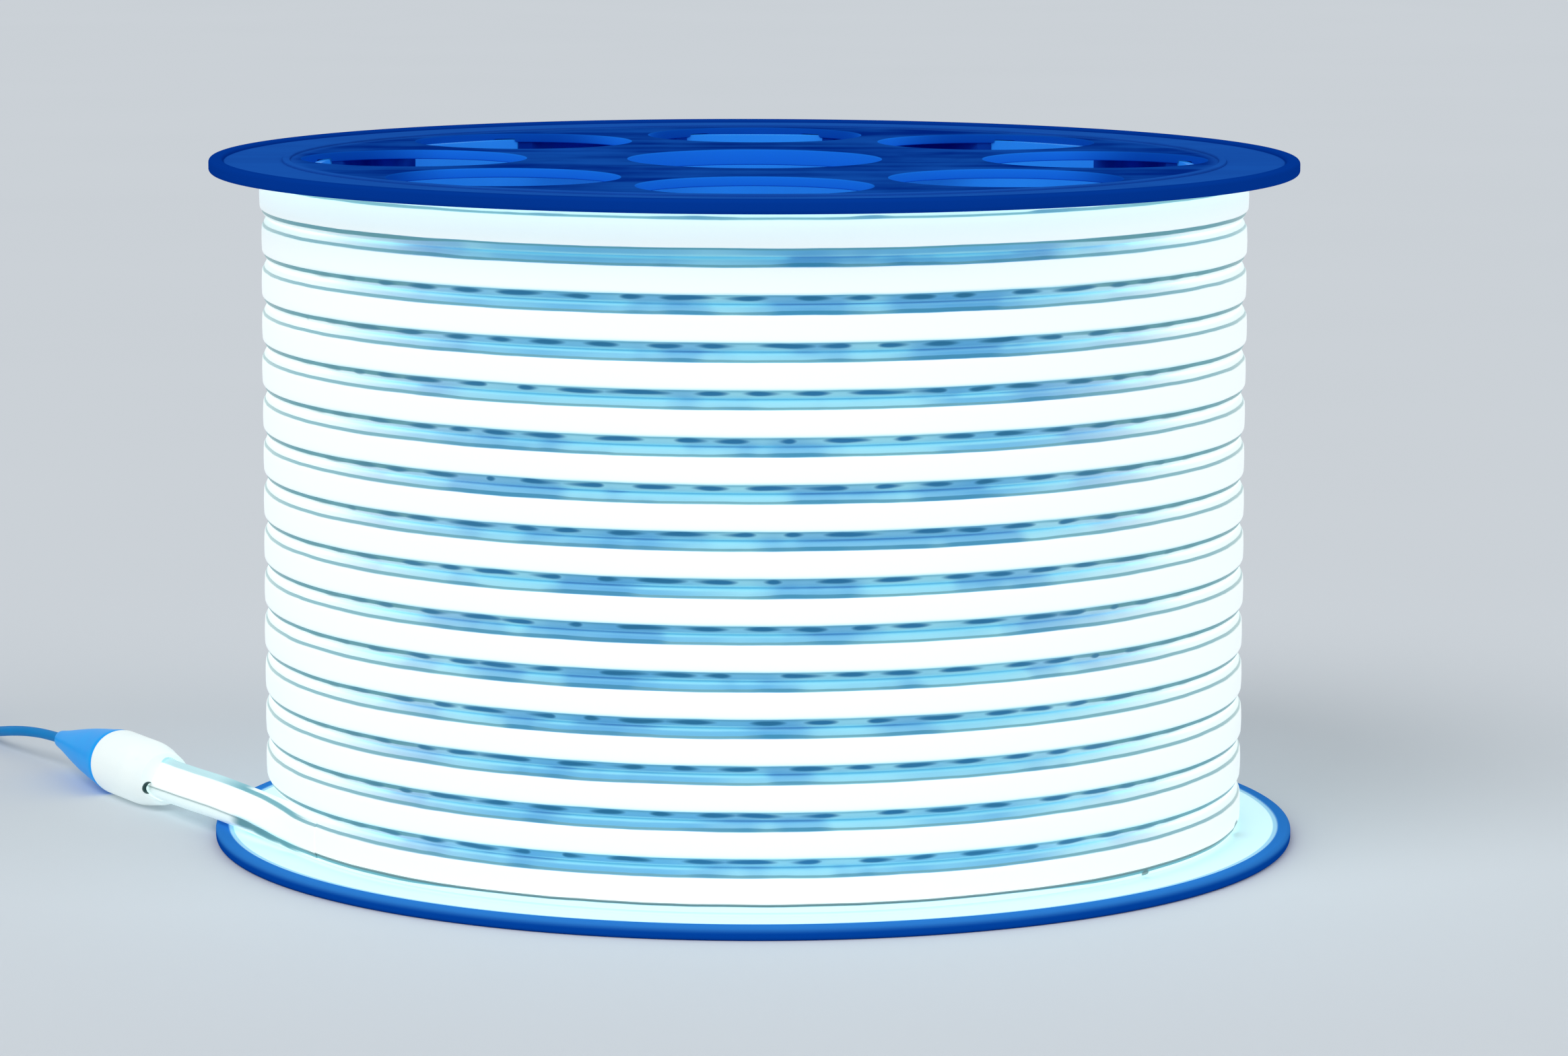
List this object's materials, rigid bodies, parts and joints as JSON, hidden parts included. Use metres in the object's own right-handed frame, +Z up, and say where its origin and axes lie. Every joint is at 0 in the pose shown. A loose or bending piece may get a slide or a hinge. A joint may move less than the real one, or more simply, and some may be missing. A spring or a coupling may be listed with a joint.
{
  "type": "led rope light on a reel",
  "caption": "Flat glowing rope light wound in level turns on an open plastic reel, with a free tail that ends in a feed connector, cone boot, power lead and plug.",
  "frame": {"origin": "on the reel's axis, on the surface that the bottom flange stands on", "axes": "+Z up along the reel's axis, -Y towards the viewer of the picture, +X to the viewer's right"},
  "size_m": [0.516, 0.3966, 0.2141],
  "materials": {
    "reel_plastic": "deep blue moulded plastic, glossy",
    "tube_plastic": "mid blue moulded plastic, lit from behind by the rope",
    "lit_jacket": "milky soft jacket, lit cool white from inside",
    "white_plastic": "white moulded plastic",
    "contact_brass": "plain turned brass",
    "board_laminate": "green circuit laminate",
    "black_resin": "black moulded resin",
    "wire_brown": "brown wire insulation",
    "wire_blue": "blue wire insulation",
    "boot_plastic": "soft sky blue moulding",
    "lead_jacket": "dark blue soft jacket, dull sheen",
    "pin_nickel": "nickel-plated pins"
  },
  "bodies": {
    "root": {"bottom_flange": "reel_plastic", "top_flange": "reel_plastic", "core_tube": "tube_plastic", "rope_light_roll": "lit_jacket", "rope_light_tail": "lit_jacket", "connector_body": "white_plastic", "contact_pin_left": "contact_brass", "contact_pin_right": "contact_brass", "rectifier_board": "board_laminate", "rectifier_block": "black_resin", "lead_wire_live": "wire_brown", "lead_wire_neutral": "wire_blue", "cone_boot": "boot_plastic", "power_lead": "lead_jacket", "power_lead_coil": "lead_jacket", "power_lead_end": "lead_jacket", "coil_tie": "black_resin", "plug_body": "white_plastic", "plug_pin_left": "pin_nickel", "plug_pin_right": "pin_nickel"}
  },
  "joints": []
}
